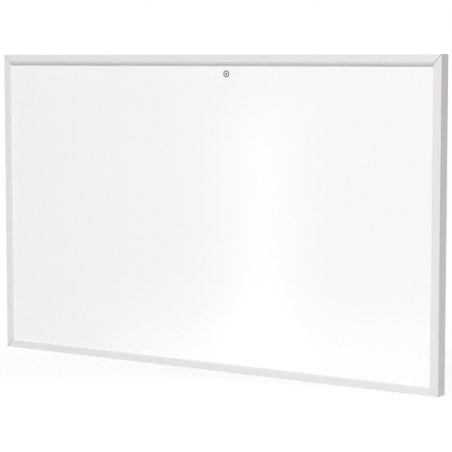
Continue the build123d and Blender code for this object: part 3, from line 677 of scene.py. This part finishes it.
def amber_film_finish():
    material, tree, shader, place = start_material("amber film")
    shader.inputs["Coat Weight"].default_value = 0.6
    patches = use_group(tree, soft_patches, place=place, size=0.08)["Value"]
    colour = tinted(tree, *film_colours, patches)
    tree.links.new(colour, shader.inputs["Base Color"])
    gloss = use_group(tree, soft_patches, place=place, size=0.04, least=0.12, most=0.2)["Value"]
    tree.links.new(gloss, shader.inputs["Roughness"])
    return material


def fibre_board_finish():
    material, tree, shader, place = start_material("mineral fibre board")
    level = use_group(tree, drawn_lines, place=place, stretch=(0.2, 1.0, 1.0))["Value"]
    upright = use_group(tree, drawn_lines, place=place, stretch=(1.0, 1.0, 0.2))["Value"]
    fibres = add_node(
        tree, "ShaderNodeMath", {0: level, 1: upright}, operation="MULTIPLY"
    ).outputs[0]
    tree.links.new(tinted(tree, *board_colours, fibres), shader.inputs["Base Color"])
    shader.inputs["Roughness"].default_value = 0.9
    bump_from(tree, shader, fibres, depth=0.0003)
    return material


def glass_tape_finish():
    material, tree, shader, place = start_material("woven glass tape")
    warp, weft = (
        add_node(
            tree,
            "ShaderNodeTexWave",
            {"Vector": place, "Scale": weave_scale, "Distortion": 0.3},
            bands_direction=direction,
        ).outputs["Fac"]
        for direction in ("X", "Z")
    )
    weave = add_node(tree, "ShaderNodeMath", {0: warp, 1: weft}, operation="MAXIMUM").outputs[0]
    tree.links.new(tinted(tree, *tape_colours, weave), shader.inputs["Base Color"])
    shader.inputs["Roughness"].default_value = 0.7
    bump_from(tree, shader, weave, depth=0.0001)
    return material


amber_film = amber_film_finish()
fibre_board = fibre_board_finish()
glass_tape = glass_tape_finish()
print("sheet materials:", amber_film.name, fibre_board.name, glass_tape.name)

# %% [markdown]
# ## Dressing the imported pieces
#
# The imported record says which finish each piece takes, so one table from its slot names to the
# materials dresses them all.

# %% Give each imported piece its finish
finishes = {
    "frame_powder_coat": frame_coat,
    "plate_powder_coat": plate_coat,
    "cast_alloy": cast_alloy,
    "zinc_screw": zinc_screw,
    "zinc_sheet": zinc_sheet,
    "glass_tape": glass_tape,
    "amber_film": amber_film,
    "track_foil": track_foil,
    "mirror_foil": mirror_foil,
    "mineral_fibre": fibre_board,
    "black_rubber": black_rubber,
    "grey_moulding": grey_moulding,
    "white_ceramic": white_ceramic,
    "brass": brass,
    "copper_tin": tinned_strip,
    "black_phenolic": black_phenolic,
    "sleeve_nylon": sleeve_nylon,
    "brown_lead": brown_lead,
    "blue_lead": blue_lead,
    "green_yellow_lead": green_yellow_lead,
}
for row in frame["record"]["subparts"]:
    mesh = nodes[row["node"]].data
    mesh.materials.clear()
    mesh.materials.append(finishes[row["material_slot"]])

# %% [markdown]
# ## Printed mark
#
# Near the top of the plate is one small dark print. Here it is a plain ring with a dot, the
# general sign of a point that radiates. A print stands a few hundredths of a millimetre proud, so
# it is a very thin body. A filled circle is added on the plate and given a thickness. For the ring
# its face is first inset by the width of the line, and the inner face that stays selected is
# deleted.

# %% Tools for new pieces
def nothing_selected():
    """Leaves object mode with nothing selected, because operators act on what is selected."""
    if bpy.context.object and bpy.context.object.mode != "OBJECT":
        bpy.ops.object.mode_set(mode="OBJECT")
    bpy.ops.object.select_all(action="DESELECT")


def make_active(piece):
    nothing_selected()
    piece.select_set(True)
    bpy.context.view_layer.objects.active = piece


def place_in_mesh(piece):
    """Puts an object's place into its mesh, so that the object sits at the origin, unturned."""
    make_active(piece)
    bpy.ops.object.transform_apply(location=True, rotation=True, scale=True)


# %% Printed mark on the plate
mark_radius = 0.0065
mark_line = 0.0021
mark_dot_radius = 0.0023
mark_thickness = 0.00005
mark_across = 0.0465  # to the right of the plate's middle
mark_below_edge = 0.0364  # from the frame's upper edge to the mark's middle
ink_colours = ((0.028, 0.028, 0.029), (0.05, 0.05, 0.05))

plate_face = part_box("radiant_plate")[0].y
mark_place = (mark_across, plate_face, cad_box[1].z - mark_below_edge)


def printed_disc(name, radius, sides):
    """A thin disc of print, facing the room."""
    nothing_selected()
    bpy.ops.mesh.primitive_circle_add(
        vertices=sides,
        radius=radius,
        fill_type="NGON",
        location=mark_place,
        rotation=(math.radians(90), 0, 0),
    )
    disc = bpy.context.object
    disc.name = name
    bpy.ops.object.mode_set(mode="EDIT")
    bpy.ops.mesh.select_all(action="SELECT")
    return disc


def raise_print(disc, material):
    """Gives a flat print its thickness and closes it against the plate."""
    bpy.ops.object.mode_set(mode="OBJECT")
    place_in_mesh(disc)
    solidify = disc.modifiers.new("thickness", "SOLIDIFY")
    solidify.thickness = mark_thickness
    solidify.offset = 1.0
    bpy.ops.object.modifier_apply(modifier=solidify.name)
    disc.data.materials.append(material)
    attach(disc, "root")
    return disc


def print_ink():
    material, tree, shader, place = start_material("printed ink")
    wear = use_group(tree, soft_patches, place=place, size=0.002)["Value"]
    tree.links.new(tinted(tree, *ink_colours, wear), shader.inputs["Base Color"])
    shader.inputs["Roughness"].default_value = 0.45
    return material


ink = print_ink()
ring = printed_disc("printed_ring", mark_radius, sides=64)
bpy.ops.mesh.inset(thickness=mark_line)
bpy.ops.mesh.delete(type="FACE")
raise_print(ring, ink)
dot = printed_disc("printed_dot", mark_dot_radius, sides=32)
raise_print(dot, ink)
print("mark:", [round(value, 4) for value in mark_place])

# %% [markdown]
# ## Fasteners on the rear
#
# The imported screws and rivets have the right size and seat, but plain heads. Each kind is modelled
# once, standing on its seat with its head up, and then copied to every packed place, so a screw
# stays where the panel has its hole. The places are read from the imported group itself: points that
# lie close together belong to one fastener, and its axis is in their middle.

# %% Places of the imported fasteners
fasteners_apart = 0.01  # no two fasteners of a group are nearer than this


def fastener_places(node):
    """The axis of each fastener in a packed group, as a place across and a place upright."""
    groups = []
    for vertex in nodes[node].data.vertices:
        spot = (vertex.co.x, vertex.co.z)
        near = [group for group in groups if math.dist(spot, group[0]) < fasteners_apart]
        if near:
            near[0].append(spot)
        else:
            groups.append([spot])
    middles = []
    for group in groups:
        across, upright = zip(*group)
        middles.append(((min(across) + max(across)) / 2, (min(upright) + max(upright)) / 2))
    return middles


for node in ("rear_cover_screws", "terminal_box_lid_screws", "hanger_rivets"):
    print(node, len(fastener_places(node)))

# %% [markdown]
# A head and its shank are turned pieces. Each starts as a disc on its seat. One end face at a time
# is picked by its normal, pushed out by a step and made wider or narrower, as on a lathe.

# %% Tools for turned pieces
turned_sides = 32
smooth_below = 35  # degrees between two faces
end_face_limit = 0.9  # how far the normal of an end face points along the axis, at least


def turned_blank(name, radius, height):
    """A disc that stands on its seat at the origin, ready to be shaped into a head."""
    nothing_selected()
    bpy.ops.mesh.primitive_cylinder_add(
        vertices=turned_sides, radius=radius, depth=height, location=(0, 0, height / 2)
    )
    blank = bpy.context.object
    blank.name = name
    place_in_mesh(blank)
    return blank


def pick_end_face(piece, way):
    """In edit mode, selects the upper (way 1) or the lower (way -1) end face."""
    bpy.ops.object.mode_set(mode="EDIT")
    bpy.ops.mesh.select_mode(type="FACE")
    bpy.ops.mesh.select_all(action="DESELECT")
    bpy.ops.object.mode_set(mode="OBJECT")
    for face in piece.data.polygons:
        face.select = face.normal.z * way > end_face_limit
    bpy.ops.object.mode_set(mode="EDIT")


def push_end(distance, share=1.0):
    """Extrudes the selected end face along the axis, then widens or narrows it."""
    bpy.ops.mesh.extrude_region_move(TRANSFORM_OT_translate={"value": (0, 0, distance)})
    bpy.ops.transform.resize(value=(share, share, 1), center_override=(0, 0, 0))


def finish_turned(piece, material):
    """Turns all faces outwards, smooths the round ones and gives the finish."""
    make_active(piece)
    bpy.ops.object.mode_set(mode="EDIT")
    bpy.ops.mesh.select_all(action="SELECT")
    bpy.ops.mesh.normals_make_consistent(inside=False)
    bpy.ops.object.mode_set(mode="OBJECT")
    bpy.ops.object.shade_smooth_by_angle(angle=math.radians(smooth_below))
    piece.data.materials.append(material)


# %% [markdown]
# A pan-head screw has a rounded shoulder and a cross recess that narrows inwards, for the driver's
# tip. The shoulder is a bevel in several steps, and the recess is cut by two wedges with a boolean
# modifier. A thread could be swept along a helix, but the shanks are hidden in their holes, so
# rings at the thread's pitch are enough, and they need only a loop of short extrusions.

# %% Pan-head screw
shoulder_share = 0.6  # of the head's height
shoulder_steps = 6
recess_share = 0.62  # of the head's height
recess_span_share = 1.15  # of the head's radius
recess_width_share = 0.26  # of the head's radius
recess_floor_share = 0.55  # of its mouth
cut_over = 0.0004  # how far a wedge stands out of the head, for a clean cut
thread_core_share = 0.82  # of the shank's radius
tip_share = 0.45  # of the shank's radius


def cut_recess(screw, head_radius, head_height):
    """Cuts two crossed wedges out of the head's top."""
    depth = recess_share * head_height
    for turn in (0, 90):
        nothing_selected()
        bpy.ops.mesh.primitive_cube_add(
            size=1,
            location=(0, 0, head_height + (cut_over - depth) / 2),
            rotation=(0, 0, math.radians(turn)),
            scale=(
                recess_span_share * head_radius,
                recess_width_share * head_radius,
                depth + cut_over,
            ),
        )
        wedge = bpy.context.object
        place_in_mesh(wedge)
        pick_end_face(wedge, -1)
        narrowed = (recess_floor_share, recess_floor_share, 1)
        bpy.ops.transform.resize(value=narrowed, center_override=(0, 0, 0))
        make_active(screw)
        cut = screw.modifiers.new("cross recess", "BOOLEAN")
        cut.operation = "DIFFERENCE"
        cut.object = wedge
        bpy.ops.object.modifier_apply(modifier=cut.name)
        bpy.data.objects.remove(wedge)


def pan_screw(name, head_radius, head_height, shank_radius, shank_length, pitch):
    """A head with a rounded shoulder, and below it a plain neck, the thread's rings and a tip."""
    screw = turned_blank(name, head_radius, head_height)
    pick_end_face(screw, 1)
    bpy.ops.mesh.bevel(offset=shoulder_share * head_height, segments=shoulder_steps)
    pick_end_face(screw, -1)
    bpy.ops.mesh.inset(thickness=head_radius - shank_radius)
    turns = int(shank_length / pitch) - 1
    end_length = (shank_length - turns * pitch) / 2
    push_end(-end_length)
    for _ in range(turns):
        push_end(-pitch / 2, thread_core_share)
        push_end(-pitch / 2, 1 / thread_core_share)
    push_end(-end_length, tip_share)
    bpy.ops.object.mode_set(mode="OBJECT")
    cut_recess(screw, head_radius, head_height)
    finish_turned(screw, zinc_screw)
    return screw


cover_head_height = 0.0024
lid_head_height = 0.0015
cover_screw = pan_screw(
    "cover_screw_model",
    head_radius=0.0037,
    head_height=cover_head_height,
    shank_radius=0.00195,
    shank_length=0.008,
    pitch=0.0014,
)
lid_screw = pan_screw(
    "lid_screw_model",
    head_radius=0.0028,
    head_height=lid_head_height,
    shank_radius=0.00145,
    shank_length=0.012,
    pitch=0.001,
)
print("screw faces:", len(cover_screw.data.polygons), len(lid_screw.data.polygons))

# %% [markdown]
# A blind rivet is set from one side. Its head is a low dome with the broken end of the pin in a
# hole in its middle, and behind the sheets its tube is pulled into a thick ring. The dome is a
# slice of a ball, so its steps come from the circle through its rim and its top.

# %% Blind rivet
rivet_head_radius = 0.0039
rivet_head_height = 0.0015
rivet_rim = 0.0003
rivet_shank_radius = 0.002
rivet_tail_radius = 0.0029
rivet_tail_length = 0.003
pin_hole_radius = 0.0011
pin_radius = 0.0009
pin_hole_depth = 0.0009
pin_height = 0.0005
dome_steps = 6

rivet_low, rivet_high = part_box("hanger_rivets")
rivet_grip = rivet_high.y - rivet_low.y - rivet_head_height - rivet_tail_length


def blind_rivet(name):
    """A domed head with its pin, and below it the tube and the ring behind the sheets."""
    rivet = turned_blank(name, rivet_head_radius, rivet_rim)
    pick_end_face(rivet, 1)
    rise = rivet_head_height - rivet_rim
    ball = (rivet_head_radius**2 + rise**2) / (2 * rise)
    widest = rivet_head_radius
    for step in range(1, dome_steps + 1):
        narrower = rivet_head_radius - (rivet_head_radius - pin_hole_radius) * step / dome_steps
        climb = math.sqrt(ball**2 - narrower**2) - math.sqrt(ball**2 - widest**2)
        push_end(climb, narrower / widest)
        widest = narrower
    push_end(-pin_hole_depth)
    bpy.ops.mesh.inset(thickness=pin_hole_radius - pin_radius)
    push_end(pin_height)
    pick_end_face(rivet, -1)
    bpy.ops.mesh.inset(thickness=rivet_head_radius - rivet_shank_radius)
    push_end(-rivet_grip)
    bulge = rivet_tail_radius / rivet_shank_radius
    push_end(-rivet_tail_length / 4, bulge)
    push_end(-rivet_tail_length / 2)
    push_end(-rivet_tail_length / 4, 1 / bulge)
    bpy.ops.object.mode_set(mode="OBJECT")
    finish_turned(rivet, cast_alloy)
    return rivet


rivet_model = blind_rivet("rivet_model")
print("rivet grip, mm:", round(1000 * rivet_grip, 2))

# %% [markdown]
# The models stand at the origin with their heads up. A copy of its model is laid over for each
# packed place, so that its head points to the wall and rests on its seat. Every copy says which
# packed group it stands for. No two screws stop at the same turn, so each is turned a little
# further about its axis than the one before.

# %% Set each fastener in its place
turn_between = 37  # degrees from one copy to the next


def set_fasteners(model, node, head_height):
    """Copies a model to each packed place, with its head on its seat, and removes the model."""
    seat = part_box(node)[1].y - head_height
    for number, (across, upright) in enumerate(fastener_places(node), 1):
        make_active(model)
        bpy.ops.object.duplicate(linked=False)
        piece = bpy.context.object
        piece.name = f"{node}_{number:02d}"
        piece.location = (across, seat, upright)
        piece.rotation_euler = (math.radians(-90), math.radians(number * turn_between), 0)
        place_in_mesh(piece)
        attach(piece, "root")
        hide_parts(node)
    bpy.data.objects.remove(model)
    print(f"{node}: {number} set at y {seat:.4f}")


set_fasteners(cover_screw, "rear_cover_screws", cover_head_height)
set_fasteners(lid_screw, "terminal_box_lid_screws", lid_head_height)
set_fasteners(rivet_model, "hanger_rivets", rivet_head_height)

# %% [markdown]
# ## Floor and background
#
# The panel hangs on its brackets, so the floor lies well below it. A pale disc takes the panel's
# soft shadow and fades out at its rim into the white background. Its underside is clear, so the
# panel can be looked at from below as well.

# %% Floor
floor_level = -0.9
floor_radius = 4.5
floor_sides = 128
floor_fade_start = 2.4
floor_colour = (0.85, 0.85, 0.85)
floor_glow = 0.5  # added to what is seen directly, but not to the light on the panel

nothing_selected()
bpy.ops.mesh.primitive_circle_add(
    vertices=floor_sides, radius=floor_radius, fill_type="NGON", location=(0, 0, floor_level)
)
floor = bpy.context.object
floor.name = "floor"


def direct_sight(tree):
    """1 for what the camera or a glossy or clear surface sees directly, 0 for other light."""
    path = tree.nodes.new("ShaderNodeLightPath")
    glossy = add_node(
        tree,
        "ShaderNodeMath",
        {0: path.outputs["Is Camera Ray"], 1: path.outputs["Is Glossy Ray"]},
        operation="MAXIMUM",
    )
    return add_node(
        tree,
        "ShaderNodeMath",
        {0: glossy.outputs[0], 1: path.outputs["Is Transmission Ray"]},
        operation="MAXIMUM",
    ).outputs[0]


def floor_finish():
    material = bpy.data.materials.new("pale floor")
    material.use_nodes = True
    tree = material.node_tree
    tree.nodes.clear()
    place = tree.nodes.new("ShaderNodeTexCoord").outputs["Object"]
    reach = add_node(tree, "ShaderNodeVectorMath", {0: place}, operation="LENGTH").outputs["Value"]
    fade = add_node(
        tree,
        "ShaderNodeMapRange",
        {"Value": reach, "From Min": floor_fade_start, "From Max": floor_radius},
        interpolation_type="SMOOTHSTEP",
    ).outputs["Result"]
    matt = add_node(tree, "ShaderNodeBsdfDiffuse", {"Color": (*floor_colour, 1.0)})
    glow_strength = add_node(
        tree, "ShaderNodeMath", {0: direct_sight(tree), 1: floor_glow}, operation="MULTIPLY"
    )
    glow = add_node(tree, "ShaderNodeEmission", {"Strength": glow_strength.outputs[0]})
    lit = add_node(tree, "ShaderNodeAddShader", {0: matt.outputs[0], 1: glow.outputs[0]})
    clear = tree.nodes.new("ShaderNodeBsdfTransparent")
    underside = tree.nodes.new("ShaderNodeNewGeometry").outputs["Backfacing"]
    hidden = add_node(
        tree, "ShaderNodeMath", {0: fade, 1: underside}, operation="MAXIMUM"
    ).outputs[0]
    faded = add_node(
        tree, "ShaderNodeMixShader", {0: hidden, 1: lit.outputs[0], 2: clear.outputs[0]}
    )
    add_node(tree, "ShaderNodeOutputMaterial", {"Surface": faded.outputs[0]})
    return material


floor.data.materials.append(floor_finish())
print("floor at", floor_level, "m, radius", floor_radius, "m")

# %% [markdown]
# The world is white for what the camera or a glossy or clear surface sees directly. The light that
# it gives is kept much lower, so that the lamps alone model the panel.

# %% White background
world_light = 0.03

world = bpy.data.worlds.new("white studio")
bpy.context.scene.world = world
world.use_nodes = True
world_tree = world.node_tree
background = world_tree.nodes["Background"]
background.inputs["Color"].default_value = (1.0, 1.0, 1.0, 1.0)
strength = add_node(
    world_tree,
    "ShaderNodeMapRange",
    {"Value": direct_sight(world_tree), "To Min": world_light, "To Max": 1.0},
)
world_tree.links.new(strength.outputs["Result"], background.inputs["Strength"])
print("world light:", world_light)

# %% [markdown]
# ## Lamps
#
# The photograph's shadow under the upper lip says where the main light is: high overhead and a
# little in front. This lamp is small, so the shadow has a firm edge. The white floor throws part
# of its light back up, and a weak wide lamp in front fills the shadows a little.
#
# At the right a large cool lamp stands low and a weak warm one high, so the frame's side is a
# little warmer towards its top. Three more light the rear and the sides. All of these are large,
# because a small lamp would show in the glossy plate as a hard white patch. All but the weak warm
# one stand low, so they add little to the frame's top face, which the overhead lamp alone makes
# nearly white. A lamp's power is worked out from how much light should reach the panel.

# %% Lamps
panel_middle = Vector((0, plate_face, 0))
warm_white = (1.0, 0.996, 0.990)
plain_white = (1.0, 1.0, 1.0)
cool_white = (0.94, 0.97, 1.0)
lamp_amber = (1.0, 0.58, 0.44)


def soft_lamp(name, place, size, level, colour=plain_white):
    """A rectangular lamp aimed at the panel. Level is the light that reaches the panel, where 1
    makes a white card that faces the lamp look white."""
    data = bpy.data.lights.new(name, "AREA")
    data.shape = "RECTANGLE"
    data.size, data.size_y = size
    data.color = colour
    lamp = bpy.data.objects.new(name, data)
    lamp.location = place
    towards = panel_middle - lamp.location
    lamp.rotation_euler = towards.to_track_quat("-Z", "Y").to_euler()
    data.energy = level * math.pi**2 * towards.length_squared
    bpy.context.scene.collection.objects.link(lamp)
    print(f"{name}: {towards.length:.2f} m away, {data.energy:.1f} W")
    return lamp


soft_lamp("overhead", (0.9, -2.59, 5.98), size=(0.9, 0.5), level=1.25, colour=warm_white)
soft_lamp("front", (1.0, -3.4, -0.2), size=(3.2, 1.3), level=0.115)
soft_lamp("right_low", (2.1, -1.9, -0.25), size=(2.2, 1.2), level=0.07, colour=cool_white)
soft_lamp("right_high", (1.7, -0.4, 1.4), size=(1.2, 1.2), level=0.06, colour=lamp_amber)
soft_lamp("right_rear", (2.4, 0.9, -0.1), size=(1.4, 1.4), level=0.085)
soft_lamp("rear", (-0.3, 2.8, 0.1), size=(2.0, 1.4), level=0.45)
soft_lamp("left_side", (-2.6, 0.5, 0.05), size=(1.4, 1.4), level=0.18)

# %% [markdown]
# ## Cards that show as a glow
#
# The plate's coat is glossy enough to show the studio as a soft glow, an upright one in its right
# half and a low one along its lower edge. Each is a card to the left front, where the camera's line
# of sight is thrown by the plate. A card's power follows from how bright it should look.

# %% Glowing cards
card_depth = camera_place[1]


def glowing_card(name, left, right, low, high, brightness):
    """A card that faces the panel and looks this bright, where 1 is white."""
    width = right - left
    height = high - low
    place = Vector(((left + right) / 2, card_depth, (low + high) / 2))
    card = soft_lamp(name, place, size=(width, height), level=0.0)
    card.data.energy = brightness * math.pi * width * height
    print(f"{name}: with {card.data.energy:.2f} W it looks {brightness} times as bright as white")


glowing_card("upright_card", left=-1.79, right=-1.66, low=-0.90, high=0.13, brightness=5.5)
glowing_card("low_card", left=-2.25, right=-0.85, low=-0.98, high=-0.68, brightness=2.2)
